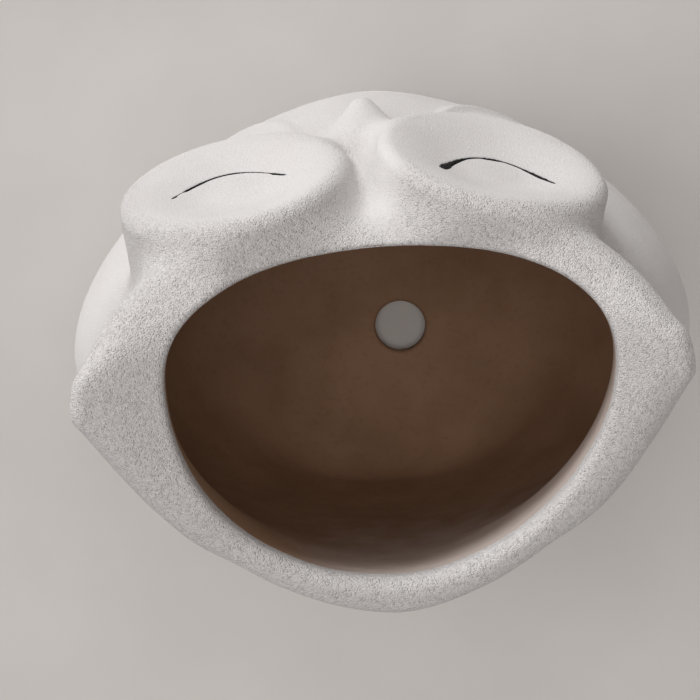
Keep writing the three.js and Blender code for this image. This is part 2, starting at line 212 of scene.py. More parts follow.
# The pot's axis stands behind the origin, because the owl's front reaches further than its back.
MM = 0.001
AXIS = Vector((0.0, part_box("sand_coat")[1].y - BELLY.back * MM, 0.0))


def mix(a, b, share):
    return a + (b - a) * share


def step(value, low, high):
    share = np.clip((value - low) / (high - low), 0.0, 1.0)
    return share * share * (3.0 - 2.0 * share)


def hill(value, width):
    return np.exp(-((value / width) ** 2))


def soft_union(a, b, width):
    share = np.clip(0.5 + 0.5 * (b - a) / width, 0.0, 1.0)
    return mix(b, a, share) - width * share * (1.0 - share)


def round_meet(a, b, radius):
    """The space inside both a and b, its edge rounded to a radius."""
    inside = np.minimum(np.maximum(a, b), -radius)
    return inside + np.hypot(np.maximum(a + radius, 0.0), np.maximum(b + radius, 0.0))


def mix_section(a, b, share):
    return Section(*(mix(u, v, share) for u, v in zip(a, b)))


def inset_section(section, inset):
    half, front, back = section.half - inset, section.front - inset, section.back - inset
    return section._replace(half=half, front=front, back=back)


def body_section(z):
    swell = np.sin(np.clip(z / BELLY_HEIGHT, 0.0, 1.0) * math.pi / 2)
    climb = np.clip((z - BELLY_HEIGHT) / (NECK_HEIGHT - BELLY_HEIGHT), 0.0, 1.0)
    section = mix_section(mix_section(FOOT, BELLY, swell), RIM, (1.0 - np.cos(climb * math.pi)) / 2)
    away = np.clip((z - BRIDGE_MIDDLE) / BRIDGE_HALF_LENGTH, -1.0, 1.0)
    return section._replace(bridge=BRIDGE_RELIEF * np.cos(away * math.pi / 2) ** 2)


def hollow_section(z):
    share = step(z, (BELLY_HEIGHT + NECK_HEIGHT) / 2, RIM_HEIGHT - RIM_ROUND)
    return mix_section(inset_section(body_section(z), WALL), MOUTH, share)


def front_share(along):
    return step(-along, FRONT_FROM, FRONT_TO)


def rim_rise(across, along, z):
    """How far the rim climbs towards the ears and dips between the eyes, fading out down to the belly."""
    rise = RIM_RISE * across**4 - RIM_DIP * front_share(along)
    return rise * step(z, BELLY_HEIGHT, RIM_HEIGHT)


def bridge_share(x):
    return hill(x + BRIDGE_TO_RIGHT, BRIDGE_HALF_WIDTH)


def bridge_at(section, x, along):
    return section.bridge * bridge_share(x) * step(-along, 0.0, BRIDGE_FROM_SIDE)


def power_at(section, across, along):
    return np.where(along < 0, section.power, section.back_power + section.skew * np.sign(across))


def outline(section, turn, z):
    """Points of a section's outline: turn 0 is the owl's left, a quarter turn its back."""
    across, along = np.cos(turn), np.sin(turn)
    power = power_at(section, across, along)
    reach = np.where(along < 0, section.front - section.forward, section.back + section.forward)
    x = section.half * np.sign(across) * np.abs(across) ** (2.0 / power) - section.aside
    y = reach * np.sign(along) * np.abs(along) ** (2.0 / power) - section.forward
    y = y - bridge_at(section, x, along)
    return np.stack([x, y, z + rim_rise(across, along, z)], axis=-1)


def level(section_of, p):
    """The height that a point has before the rim's rise and dip."""
    z = p[:, 2]
    for _ in range(2):
        section = section_of(z)
        x, y = p[:, 0] + section.aside, p[:, 1] + section.forward
        reach = np.where(y < 0, section.front - section.forward, section.back + section.forward)
        u, v = x / section.half, y / reach
        size = np.maximum(np.hypot(u, v), 1e-3)
        z = p[:, 2] - rim_rise(u / size, v / size, z)
    return z


def beyond(section, p):
    """Distance outside a section's outline, and the point's turn round it, mirrored to the owl's left."""
    x, y = p[:, 0] + section.aside, p[:, 1] + section.forward
    power = power_at(section, x, y)
    reach = np.where(y < 0, section.front - section.forward, section.back + section.forward)
    u, v = np.abs(x) / section.half, np.abs(y) / reach
    gauge = np.maximum((u**power + v**power) ** (1.0 / power), 0.02)
    turn = np.arctan2(np.sign(y) * v ** (power / 2), u ** (power / 2))
    return np.hypot(x, y) * (1.0 - 1.0 / gauge) - bridge_at(section, x, y / reach), turn


def wing_depth(turn, z, half):
    """How far inside a wing's edge a point of the body lies, and how far down the wing it is."""
    fall = (WING_TOP - z) / (WING_TOP - WING_TIP)
    inner = np.clip(fall, 0.0, WING_END)
    span = WING_HALF_SPAN * (1.0 - inner**2) ** WING_TAPER
    shrink = 2 * WING_TAPER * WING_HALF_SPAN * inner * (1.0 - inner**2) ** (WING_TAPER - 1.0)
    shrink = shrink / (WING_TOP - WING_TIP)
    middle = WING_MIDDLE + WING_SWEEP * inner**2
    depth = (span - np.abs(turn - middle)) * half / np.sqrt(1.0 + (half * shrink) ** 2)
    return np.where(fall > WING_END, -OFF_WING, depth), fall


def body_field(p):
    z = level(body_section, p)
    section = body_section(z)
    side, turn = beyond(section, p)
    depth, fall = wing_depth(turn, z, section.half)
    front = front_share(np.sin(turn))
    bead = np.where(p[:, 0] < 0, WING_BEAD[-1], WING_BEAD[1]) * hill(depth - WING_BEAD_INSET, WING_BEAD_WIDTH)
    relief = mix(WING_RELIEF, WING_FRONT_RELIEF, front) * step(depth, *WING_EDGE) + bead * front
    side = side - relief * step(fall, 0.0, WING_FADE)
    middle = front * hill(p[:, 0], BRIDGE_ROUND_WIDTH)
    ears = LIP_DROP_AT_EARS * step(np.cos(turn), EARS_FROM, EARS_TO)
    inward = np.clip(-side / LIP_FRONT, 0.0, LIP_DROP_ENDS)
    drop = LIP_DROP * inward * (front - middle + ears)
    field = round_meet(side, z - RIM_HEIGHT + drop, mix(RIM_ROUND, BRIDGE_ROUND, middle))
    wing = np.minimum(depth - WING_SEAM, WING_TOP - WING_SEAM_BELOW_TOP - z)
    return round_meet(field, -p[:, 2], FOOT_ROUND), wing


def hollow_field(p):
    z = level(hollow_section, p)
    side, _ = beyond(hollow_section(z), p)
    return round_meet(side, FLOOR - z, FLOOR_ROUND), RIM_HEIGHT - z


def eye_axes(side):
    """A disc's middle, its outward normal, and its directions to the owl's left and down."""
    turn = side * EYE_TURN[side]
    spread = EYE_GAP / 2 + EYE_RADIUS * math.cos(turn)
    middle = np.array([side * spread, -EYE_FORWARD, EYE_HEIGHT])
    left = np.array([math.cos(turn), math.sin(turn), 0.0])
    level_out = np.array([math.sin(turn), -math.cos(turn), 0.0])
    normal = level_out * math.cos(EYE_LEAN) + np.array([0.0, 0.0, math.sin(EYE_LEAN)])
    return middle, normal, left, np.cross(left, normal)


def dish_depth(distance):
    crest = EYE_RADIUS - EYE_BORDER / 2
    return DISH_DEPTH * step(crest - distance, 0.0, crest * DISH_SLOPE)


def eye_field(p, side):
    middle, normal, left, down = eye_axes(side)
    q = p - middle
    height, distance = q @ normal, np.hypot(q @ left, q @ down)
    wall = EYE_BORDER / 2
    flare = (EYE_BASE_RADIUS - EYE_RADIUS) * np.clip((-height - wall) / (EYE_DEPTH - wall), 0.0, 1.0)
    drum = round_meet(distance - EYE_RADIUS - flare, height + dish_depth(distance), wall)
    return np.maximum(drum, -height - EYE_ROOT_DEPTH)


def cone_field(q, root, tip, length, power=2.0):
    """A cone with a ball at each end, along the second axis. A higher power makes it more square across."""
    between = length - tip
    lean = (root - tip) / between
    upright = math.sqrt(1.0 - lean * lean)
    out = (np.abs(q[:, 0]) ** power + np.abs(q[:, 2]) ** power) ** (1.0 / power)
    along = q[:, 1]
    share = along * upright - out * lean
    flank = out * upright + along * lean - root
    ends = np.where(share < 0, np.hypot(out, along) - root, np.hypot(out, along - between) - tip)
    return np.where((share >= 0) & (share <= between * upright), flank, ends)


def beak_field(p):
    forward = np.array([0.0, -math.cos(BEAK_DROOP), -math.sin(BEAK_DROOP)])
    up = np.array([0.0, -math.sin(BEAK_DROOP), math.cos(BEAK_DROOP)])
    q = p - np.array([0.0, BEAK_ROOT_SINK - body_section(BEAK_HEIGHT).front, BEAK_HEIGHT])
    local = np.stack([q[:, 0], q @ forward, q @ up / BEAK_STRETCH], axis=1)
    return cone_field(local, BEAK_ROOT, BEAK_TIP, BEAK_LENGTH)


def ear_field(p, side):
    out, forward, height = EAR_PLACE
    q = p - np.array([side * out, forward, height])
    level_out = np.array([side * math.cos(EAR_TURN), -math.sin(EAR_TURN), 0.0])
    along = level_out * math.cos(EAR_CLIMB) + np.array([0.0, 0.0, math.sin(EAR_CLIMB)])
    wide = np.array([side * math.sin(EAR_TURN), math.cos(EAR_TURN), 0.0])
    thick = np.cross(along, wide)
    local = np.stack([q @ wide / EAR_STRETCH, q @ along, q @ thick], axis=1)
    return cone_field(local, EAR_ROOT, EAR_TIP, EAR_LENGTH, EAR_POWER)


def lumps(p):
    """The slight unevenness of a slip-cast body."""
    x, y, z = p[:, 0], p[:, 1], p[:, 2]
    broad = np.sin(x / 9.1 + 1.3 * np.sin(z / 13.0)) * np.sin(y / 8.3 + 0.7) * np.sin(z / 10.7 + x / 31.0)
    fine = np.sin(x / 3.9 + 0.4) * np.sin(y / 4.3 + z / 17.0) * np.sin(z / 3.7 + 1.1)
    return LUMPS_BROAD * broad + LUMPS_FINE * fine


PARTS = ("sand_coat", "eye_disc_left", "eye_disc_right", "beak", "ear_tuft_left", "ear_tuft_right")


def part_fields(p):
    body, wing = body_field(p)
    fields = [body, eye_field(p, 1), eye_field(p, -1), beak_field(p), ear_field(p, 1), ear_field(p, -1)]
    return fields, wing


def owl_field(p):
    fields, _ = part_fields(p)
    body, eye_left, eye_right, beak, ear_left, ear_right = fields
    field = soft_union(body, ear_left, EAR_CREASE)
    field = soft_union(field, ear_right, EAR_CREASE)
    crease = mix(EYE_CREASE, EYE_RIM_CREASE, step(p[:, 2], EYE_HEIGHT, EYE_HEIGHT + EYE_RADIUS * 2 / 3))
    field = soft_union(field, soft_union(eye_left, eye_right, EYES_CREASE), crease)
    field = soft_union(field, beak, BEAK_CREASE)
    hollow, _ = hollow_field(p)
    lip = mix(LIP_ROUND_FRONT, LIP_ROUND, step(p[:, 1], 0.0, MOUTH.back))
    return round_meet(field, -hollow, lip) + lumps(p)


def gradient(field_of, p, reach=0.05):
    slopes = []
    for axis in range(3):
        ahead = np.zeros(3)
        ahead[axis] = reach
        slopes.append((field_of(p + ahead) - field_of(p - ahead)) / (2 * reach))
    return np.stack(slopes, axis=1)


def owl_surface():
    """The whole outer surface as points and quads, pulled onto the field's zero."""
    low = np.array(cad_box[0] - AXIS) / MM - MARGIN
    high = np.array(cad_box[1] - AXIS) / MM + MARGIN
    counts = np.ceil((high - low) / CELL).astype(int)
    grid = np.empty(counts, np.float32)
    y, z = np.meshgrid(np.arange(counts[1]), np.arange(counts[2]), indexing="ij")
    for i in range(counts[0]):
        cells = np.stack([np.full(y.size, i), y.ravel(), z.ravel()], axis=1)
        grid[i] = owl_field(low + cells * CELL).reshape(y.shape)
    volume = openvdb.FloatGrid(background=MARGIN)
    volume.copyFromArray(grid)
    points, quads = volume.convertToQuads(0.0)
    points = low + np.array(points, float) * CELL
    for _ in range(3):
        slope = gradient(owl_field, points)
        square = np.maximum((slope * slope).sum(axis=1, keepdims=True), 0.1)
        points = points - np.clip(owl_field(points)[:, None] / square, -0.6, 0.6) * slope
    return points, np.array(quads, int)


def keep_used(points, faces):
    used = np.unique(faces)
    place = np.full(len(points), -1)
    place[used] = np.arange(len(used))
    return points[used], place[faces]


def unit(vectors):
    return vectors / np.maximum(np.linalg.norm(vectors, axis=1, keepdims=True), 1e-9)


def thicken(points, normals, faces, depth):
    """A closed skin: the faces, their copies a depth below them, and walls along the open edges."""
    count = len(points)
    directed = {(face[i - 1], face[i]) for face in faces for i in range(len(face))}
    walls = [(b, a, a + count, b + count) for a, b in directed if (b, a) not in directed]
    below = [tuple(v + count for v in reversed(face)) for face in faces]
    both = np.concatenate([points, points - normals * depth])
    return both, np.concatenate([normals, -normals]), [tuple(f) for f in faces] + below + sorted(walls)


def tube_faces(rows, columns):
    """Faces between rings of points, the last ring joined to the first and each ring closed."""
    faces = []
    for row in range(rows):
        here, there = row * columns, (row + 1) % rows * columns
        for column in range(columns):
            after = (column + 1) % columns
            faces.append((here + column, here + after, there + after, there + column))
    return faces


def add_piece(name, node, points, faces, material, normals=None, attributes=()):
    mesh = bpy.data.meshes.new(name)
    places = np.asarray(points) * MM + np.array(AXIS)
    mesh.from_pydata(places.tolist(), [], [tuple(int(v) for v in f) for f in faces])
    mesh.shade_smooth()
    for label, values in attributes:
        mesh.attributes.new(label, "FLOAT", "POINT").data.foreach_set("value", np.asarray(values, np.float32))
    if normals is not None:
        mesh.normals_split_custom_set_from_vertices(np.asarray(normals).tolist())
    mesh.materials.append(material)
    piece = bpy.data.objects.new(name, mesh)
    bpy.context.scene.collection.objects.link(piece)
    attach(piece, "root")
    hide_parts(node)
    return piece


# Materials.
class Nodes:
    """A short way to write a material's nodes."""

    def __init__(self, name):
        self.material = bpy.data.materials.new(name)
        self.material.use_nodes = True
        self.tree = self.material.node_tree
        self.shader = self.tree.nodes["Principled BSDF"]
        self.coords = self.tree.nodes.new("ShaderNodeTexCoord").outputs["Object"]

    def link(self, source, target):
        if isinstance(source, bpy.types.NodeSocket):
            self.tree.links.new(source, target)
        else:
            target.default_value = source

    def noise(self, size, detail, roughness=0.5):
        node = self.tree.nodes.new("ShaderNodeTexNoise")
        node.inputs["Scale"].default_value = 1.0 / (size * MM)
        node.inputs["Detail"].default_value = detail
        node.inputs["Roughness"].default_value = roughness
        self.link(self.coords, node.inputs["Vector"])
        return node.outputs["Fac"]

    def grains(self, size):
        """Round grains: 1 in the middle of each and 0 between them, and a chance value for each grain."""
        node = self.tree.nodes.new("ShaderNodeTexVoronoi")
        node.inputs["Scale"].default_value = 1.0 / (size * MM)
        self.link(self.coords, node.inputs["Vector"])
        return self.ramp(node.outputs["Distance"], 0.0, 0.75, 1.0, 0.0), node.outputs["Color"]

    def attribute(self, name):
        node = self.tree.nodes.new("ShaderNodeAttribute")
        node.attribute_name = name
        return node.outputs["Fac"]

    def ramp(self, value, low, high, to_low=0.0, to_high=1.0):
        node = self.tree.nodes.new("ShaderNodeMapRange")
        node.interpolation_type = "SMOOTHSTEP"
        keys = ("Value", "From Min", "From Max", "To Min", "To Max")
        for key, item in zip(keys, (value, low, high, to_low, to_high)):
            self.link(item, node.inputs[key])
        return node.outputs["Result"]

    def math(self, operation, a, b):
        node = self.tree.nodes.new("ShaderNodeMath")
        node.operation = operation
        self.link(a, node.inputs[0])
        self.link(b, node.inputs[1])
        return node.outputs[0]

    def colour(self, share, a, b):
        node = self.tree.nodes.new("ShaderNodeMix")
        node.data_type = "RGBA"
        self.link(share, node.inputs["Factor"])
        self.link(a, node.inputs["A"])
        self.link(b, node.inputs["B"])
        return node.outputs["Result"]

    def bump(self, height, distance, strength):
        node = self.tree.nodes.new("ShaderNodeBump")
        node.inputs["Distance"].default_value = distance * MM
        self.link(strength, node.inputs["Strength"])
        self.link(height, node.inputs["Height"])
        return node.outputs["Normal"]

    def finish(self, colour, roughness, normal):
        self.link(colour, self.shader.inputs["Base Color"])
        self.link(roughness, self.shader.inputs["Roughness"])
        self.link(normal, self.shader.inputs["Normal"])
        return self.material


def srgb(red, green, blue):
    def linear(value):
        value /= 255.0
        return value / 12.92 if value <= 0.04045 else ((value + 0.055) / 1.055) ** 2.4

    return linear(red), linear(green), linear(blue), 1.0


WHITE = srgb(225, 223, 223), srgb(230, 229, 229)
# Painted shade: a darker white for the hollows between the sand grains.
WHITE_GRAIN_SHADE = srgb(200, 195, 191)
WORN_EDGE = srgb(196, 178, 160)
CLAY = srgb(152, 119, 92), srgb(167, 133, 106)
CLAY_SPOTS = srgb(130, 101, 77)
# White overspray, and painted light where the lamps would fall on the back-right wall inside the mouth.
DUST_AND_LIGHT = srgb(214, 206, 201)
DUST_AND_LIGHT_MOST = 0.7
BLACK = srgb(16, 15, 15), srgb(38, 35, 34)
PALE_FLOOR = srgb(222, 220, 217), srgb(228, 226, 223)
GRAIN, FINE_GRAIN = 0.55, 0.33
GRAIN_RELIEF = 0.42
FINE_GRAIN_SHARE = 0.4


def clay_colour(nodes, dust_and_light):
    """Brown clay with darker spots, under a share of white overspray and painted light."""
    base = nodes.colour(nodes.ramp(nodes.noise(22.0, 3.0), 0.3, 0.7), *CLAY)
    base = nodes.colour(nodes.ramp(nodes.noise(1.6, 3.0), 0.5, 0.8, 0.0, 0.35), base, CLAY_SPOTS)
    # Overspray and painted light: the clay turns whiter at the back-right inside the mouth, fading with
    # depth.
    return nodes.colour(nodes.ramp(dust_and_light, 0.1, 1.0, 0.0, DUST_AND_LIGHT_MOST), base, DUST_AND_LIGHT)


def sand_material():
    nodes = Nodes("white sand coat")
    grain, chance = nodes.grains(GRAIN)
    fine, _ = nodes.grains(FINE_GRAIN)
    strength = nodes.attribute("grain")
    white = nodes.colour(nodes.ramp(nodes.noise(30.0, 3.0), 0.3, 0.7), *WHITE)
    # Painted shade: the white is darkened between the grains, more where the grain is strong.
    grain_shade = nodes.math("MULTIPLY", nodes.ramp(grain, 0.1, 0.5, 0.35, 0.0), strength)
    white = nodes.colour(grain_shade, white, WHITE_GRAIN_SHADE)
    uneven_edge = nodes.ramp(nodes.noise(1.4, 3.0, 0.6), 0.25, 0.75, -0.16, 0.16)
    ragged = nodes.math("ADD", nodes.attribute("bare"), uneven_edge)
    worn = nodes.ramp(ragged, 0.42, 0.58)
    white = nodes.colour(nodes.ramp(ragged, 0.18, 0.5, 0.0, 0.55), white, WORN_EDGE)
    colour = nodes.colour(worn, white, clay_colour(nodes, nodes.attribute("dust_and_light")))
    rough = nodes.ramp(grain, 0.3, 0.7, 0.82, 0.97)
    uneven = nodes.math("MULTIPLY", grain, nodes.ramp(chance, 0.25, 0.75, 0.1, 1.0))
    relief = nodes.math("ADD", uneven, nodes.math("MULTIPLY", fine, FINE_GRAIN_SHARE))
    cover = nodes.math("SUBTRACT", 1.0, worn)
    normal = nodes.bump(relief, GRAIN_RELIEF, nodes.math("MULTIPLY", cover, strength))
    return nodes.finish(colour, rough, normal)


def clay_material():
    nodes = Nodes("bare clay")
    patchy = nodes.ramp(nodes.noise(9.0, 3.0), 0.3, 0.7, -0.08, 0.08)
    colour = clay_colour(nodes, nodes.math("ADD", nodes.attribute("dust_and_light"), patchy))
    rough = nodes.ramp(nodes.noise(4.0, 3.0), 0.3, 0.7, 0.72, 0.9)
    normal = nodes.bump(nodes.noise(1.2, 3.0, 0.6), 0.12, 0.6)
    return nodes.finish(colour, rough, normal)


def inlay_material():
    nodes = Nodes("black inlay")
    nodes.shader.inputs["Specular IOR Level"].default_value = 0.15
    colour = nodes.colour(nodes.ramp(nodes.noise(0.9, 2.0), 0.35, 0.7), *BLACK)
    rough = nodes.ramp(nodes.noise(0.6, 2.0), 0.3, 0.7, 0.6, 0.85)
    normal = nodes.bump(nodes.noise(0.5, 2.0), 0.12, 0.7)
    return nodes.finish(colour, rough, normal)


sand = sand_material()
clay = clay_material()
inlay = inlay_material()


# The coated outside, cut into the coat and the luted pieces.
def lid_line(side):
    """A closed-eye line's points in the disc's plane: to the owl's left and down."""
    below, depth, turn, power = LIDS[side]
    share = np.linspace(-1.0, 1.0, LID_POINTS)
    across, drop = share * LID_HALF_WIDTH, depth * (1.0 - np.abs(share) ** power)
    left = across * math.cos(turn) - drop * math.sin(turn) + side * LID_OUTWARD
    down = across * math.sin(turn) + drop * math.cos(turn) + below
    return np.stack([left, down], axis=1)


def lid_width(side, share):
    """Half the width of the black line along its length, worn away in places, from the owl's right."""
    return np.interp(share, LID_PLACES[side], LID_HALF_THICKNESS[side])


def on_face(p, side):
    middle, normal, _, _ = eye_axes(side)
    return (p - middle) @ normal > -ON_FACE


def lid_distance(p, side):
    """Distance to a disc's eyelid line for the points on its face, and how far along the line they are."""
    middle, _, left, down = eye_axes(side)
    q = p - middle
    flat = np.stack([q @ left, q @ down], axis=1)
    line = lid_line(side)
    near = np.sqrt(((flat[:, None, :] - line[None]) ** 2).sum(axis=2))
    return np.where(on_face(p, side), near.min(axis=1), np.inf), near.argmin(axis=1) / (len(line) - 1)


def groove_eye(points, faces, side):
    """Refines a disc's faces along its eyelid line and presses the line in."""
    shape = bmesh.new()
    made = [shape.verts.new(p) for p in points]
    for face in faces:
        shape.faces.new([made[v] for v in face])
    for reach, cuts in LID_CUTS:
        shape.verts.index_update()
        near, _ = lid_distance(np.array([v.co for v in shape.verts]), side)
        edges = [e for e in shape.edges if max(near[v.index] for v in e.verts) < reach]
        bmesh.ops.subdivide_edges(shape, edges=edges, cuts=cuts, use_grid_fill=True)
    shape.verts.index_update()
    points = np.array([v.co for v in shape.verts])
    faces = [tuple(v.index for v in f.verts) for f in shape.faces]
    shape.free()
    normals = unit(gradient(owl_field, points))
    near, share = lid_distance(points, side)
    width = lid_width(side, share)
    depth = LID_DEPTH * step(width, 0.0, LID_GROOVE)
    press = depth * step(near, width + LID_GROOVE, width - LID_OVERHANG)
    return points - normals * press[:, None], normals, faces


def bare_share(p):
    """0 on the coat and 1 on bare clay: the coat ends at the lip's inner edge and above the foot."""
    hollow, below_rim = hollow_field(p)
    ends = LIP_ROUND + COAT_BELOW_LIP + COAT_LOWER_AT_BACK * step(p[:, 1], *COAT_BACK)
    ends = ends + COAT_LOWER_AT_BRIDGE * hill(p[:, 0], COAT_BRIDGE_WIDTH) * step(p[:, 1], *COAT_FRONT)
    inside = np.where(hollow < COAT, step(below_rim, ends - COAT_FADE, ends + COAT_FADE), 0.0)
    foot = step(p[:, 2], COAT_START + FOOT_FADE, COAT_START - FOOT_FADE)
    return np.maximum(inside, foot)


def dust_and_light_share(p):
    """White overspray with a painted pool of light over it: most below the lip at the back, towards the owl's
    right.
    """
    hollow, below_rim = hollow_field(p)
    towards = unit(p[:, :2]) @ unit(np.array([DUST_AND_LIGHT_TOWARDS]))[0]
    fade = np.clip(1.0 - below_rim / DUST_AND_LIGHT_DEPTH, 0.0, 1.0)
    return fade * step(towards, DUST_AND_LIGHT_FROM, DUST_AND_LIGHT_TO) * (hollow > -NEAR_WALL)


def grain_share(p):
    """How strong the sand grain is: less on the belly, the bridge and the faces of the eye discs."""
    starts = RIM_HEIGHT - RUBBED_BELOW_RIM
    below_rim = step(p[:, 2], starts, starts - RUBBED_BELOW_RIM)
    bridge = bridge_share(p[:, 0]) * step(p[:, 1], *RUBBED_FRONT) * below_rim
    rubbed = np.maximum(step(p[:, 2], EYE_HEIGHT, EYE_HEIGHT - RUBBED_BELOW_EYES), bridge)
    for side in EYE_TURN:
        middle, _, left, down = eye_axes(side)
        q = p - middle
        face = step(np.hypot(q @ left, q @ down), EYE_RADIUS, EYE_RADIUS - EYE_BORDER)
        rubbed = np.maximum(rubbed, face * on_face(p, side))
    return 1.0 - RUBBED * rubbed


def add_outside():
    points, quads = owl_surface()
    middles = points[quads].mean(axis=1)
    hollow, below_rim = hollow_field(middles)
    deep = (hollow < SKIN) & (below_rim > COAT_IN_MOUTH)
    quads = quads[~deep & (middles[:, 2] > FOOT_CUT)]
    points, quads = keep_used(points, quads)
    middles = points[quads].mean(axis=1)
    fields, wing = part_fields(middles)
    labels = np.argmin(np.stack(fields), axis=0)
    names = np.array(PARTS, dtype=object)[labels]
    on_wing = (labels == 0) & (wing > 0)
    names[on_wing & (middles[:, 0] > 0)] = "wing_left"
    names[on_wing & (middles[:, 0] < 0)] = "wing_right"
    normals = unit(gradient(owl_field, points))
    # Quads come out facing either way, so they are turned to follow the field.
    corner = points[quads]
    facing = np.cross(corner[:, 2] - corner[:, 0], corner[:, 3] - corner[:, 1])
    flip = (facing * normals[quads[:, 0]]).sum(axis=1) < 0
    quads[flip] = quads[flip][:, ::-1]
    for name in sorted(set(names)):
        own = quads[names == name]
        used = np.unique(own)
        own_points, own_faces = keep_used(points, own)
        own_normals = normals[used]
        own_faces = [tuple(f) for f in own_faces.tolist()]
        depth = SKIN
        if name.startswith("eye_disc"):
            side = 1 if name.endswith("left") else -1
            own_points, own_normals, own_faces = groove_eye(own_points, own_faces, side)
            depth = EYE_SKIN
        solid = thicken(own_points, own_normals, own_faces, depth)
        shares = (("bare", bare_share), ("dust_and_light", dust_and_light_share), ("grain", grain_share))
        values = [(label, np.tile(share_of(own_points), 2)) for label, share_of in shares]
        add_piece(name + "_look", name, solid[0], solid[2], sand, solid[1], values)


add_outside()


# The clay vessel: the hollow's wall, floor and drain hole, the foot, and the core under the coat.
def under_skin(ring, depth):
    """Pushes the points of a ring in to a depth below the coated surface, where they lie above it."""
    above = np.maximum(owl_field(ring) + depth, 0.0)
    return ring - above[:, None] * unit(gradient(owl_field, ring))


def add_vessel():
    turn = np.linspace(0.0, 2 * math.pi, COLUMNS, endpoint=False)
    circle = np.stack([np.cos(turn), np.sin(turn), 0.0 * turn], axis=1)

    def round_ring(radius, z, aside=0.0):
        return circle * radius + np.array([-aside, 0.0, z])

    def drain_ring(radius, z):
        return round_ring(radius, z, DRAIN_TO_RIGHT)

    rings = []
    coat_ends = RIM_HEIGHT - COAT_IN_MOUTH
    for z in np.linspace(RIM_HEIGHT - CLAY_BELOW_RIM, FLOOR + FLOOR_ROUND, 60):
        tuck = CLAY_TUCK * float(step(z, coat_ends - 1.0, coat_ends + 3.0))
        rings.append(under_skin(outline(inset_section(hollow_section(z), -tuck), turn, z), tuck))
    for angle in np.linspace(0.0, math.pi / 2, 13)[1:]:
        z = FLOOR + FLOOR_ROUND * (1.0 - math.sin(angle))
        draw_in = FLOOR_ROUND * (1.0 - math.cos(angle))
        rings.append(outline(inset_section(hollow_section(z), draw_in), turn, z))
    edge = rings[-1]
    for share in np.linspace(0.0, 1.0, 12)[1:]:
        rings.append(mix(edge, drain_ring(DRAIN_RADIUS + HOLE_ROUND, FLOOR), share))
    for angle in np.linspace(0.0, math.pi / 2, 5)[1:]:
        radius = DRAIN_RADIUS + HOLE_ROUND * (1.0 - math.sin(angle))
        rings.append(drain_ring(radius, FLOOR - HOLE_ROUND * (1.0 - math.cos(angle))))
    rings.append(drain_ring(DRAIN_RADIUS, (FLOOR + FOOT_RECESS) / 2))
    rings.append(drain_ring(DRAIN_RADIUS, FOOT_RECESS + HOLE_ROUND / 2))
    rings.append(drain_ring(DRAIN_RADIUS + HOLE_ROUND / 2, FOOT_RECESS))
    standing = FOOT_RADIUS - FOOT_ROUND
    recess = standing - FOOT_RING_WIDTH
    rings.append(round_ring(recess - 1.4, FOOT_RECESS))
    rings.append(round_ring(recess - 0.4, FOOT_RECESS - 0.4))
    rings.append(round_ring(recess, 0.5))
    rings.append(round_ring(recess + 0.5, 0.0))
    rings.append(round_ring(standing, 0.0))
    for angle in np.linspace(0.0, math.pi / 2, 6)[1:]:
        z = FOOT_ROUND * (1.0 - math.cos(angle))
        draw_in = FOOT_ROUND * (1.0 - math.sin(angle)) + 0.1
        rings.append(outline(inset_section(body_section(z), draw_in), turn, z))
    rings.append(outline(inset_section(body_section(COAT_START), CLAY_TUCK), turn, COAT_START))
    heights = np.linspace(COAT_START + 2.0, RIM_HEIGHT - 2 * CLAY_BELOW_RIM, 26)
    core = [outline(inset_section(body_section(z), COAT + CLAY_TUCK), turn, z) for z in heights]
    top = inset_section(body_section(RIM_HEIGHT), CORE_INSET_AT_RIM)
    core.append(outline(top, turn, RIM_HEIGHT - CLAY_BELOW_RIM))
    rings.extend(under_skin(ring, SKIN + CORE_BELOW_SKIN) for ring in core)
    points = np.concatenate(rings)
    points = points - lumps(points)[:, None] * unit(points * np.array([1.0, 1.0, 0.0]))
    faces = tube_faces(len(rings), COLUMNS)
    dust_and_light = [("dust_and_light", dust_and_light_share(points))]
    add_piece("clay_vessel_look", "clay_vessel", points, faces, clay, attributes=dust_and_light)


add_vessel()


# The black fill of the eyelid lines, uneven in width and height.
def add_lid(side, label):
    middle, normal, left, down = eye_axes(side)
    line = lid_line(side)
    share = np.linspace(0.0, 1.0, len(line))
    heading = unit(np.gradient(line, axis=0))
    across = np.stack([-heading[:, 1], heading[:, 0]], axis=1)
    ragged = 0.16 * np.sin(share * 147.0 + side) + 0.12 * np.sin(share * 93.0 + 2.0)
    ragged = ragged + 0.14 * np.sin(share * 311.0 + 3.0 * np.sin(share * 41.0))
    width = lid_width(side, share) * (1.0 + ragged)
    height = np.minimum(width, LID_DEPTH / 2)
    rings = []
    for angle in np.linspace(0.0, 2 * math.pi, 10, endpoint=False):
        flat = line + across * (width * math.cos(angle))[:, None]
        depth = dish_depth(np.hypot(flat[:, 0], flat[:, 1])) + height * (1.05 - math.sin(angle))
        rings.append(middle + flat[:, :1] * left + flat[:, 1:] * down - depth[:, None] * normal)
    sides, count = len(rings), len(line)
    points = np.concatenate(rings)
    faces = []
    for i in range(sides):
        here, there = i * count, (i + 1) % sides * count
        for j in range(count - 1):
            faces.append((here + j, here + j + 1, there + j + 1, there + j))
    faces.append(tuple(i * count for i in range(sides)))
    faces.append(tuple(i * count + count - 1 for i in reversed(range(sides))))
    add_piece(f"eyelid_line_{label}_look", f"eyelid_line_{label}", points, faces, inlay)


add_lid(1, "left")
add_lid(-1, "right")


# Floor, camera and light.
FLOOR_REACH = 3.0


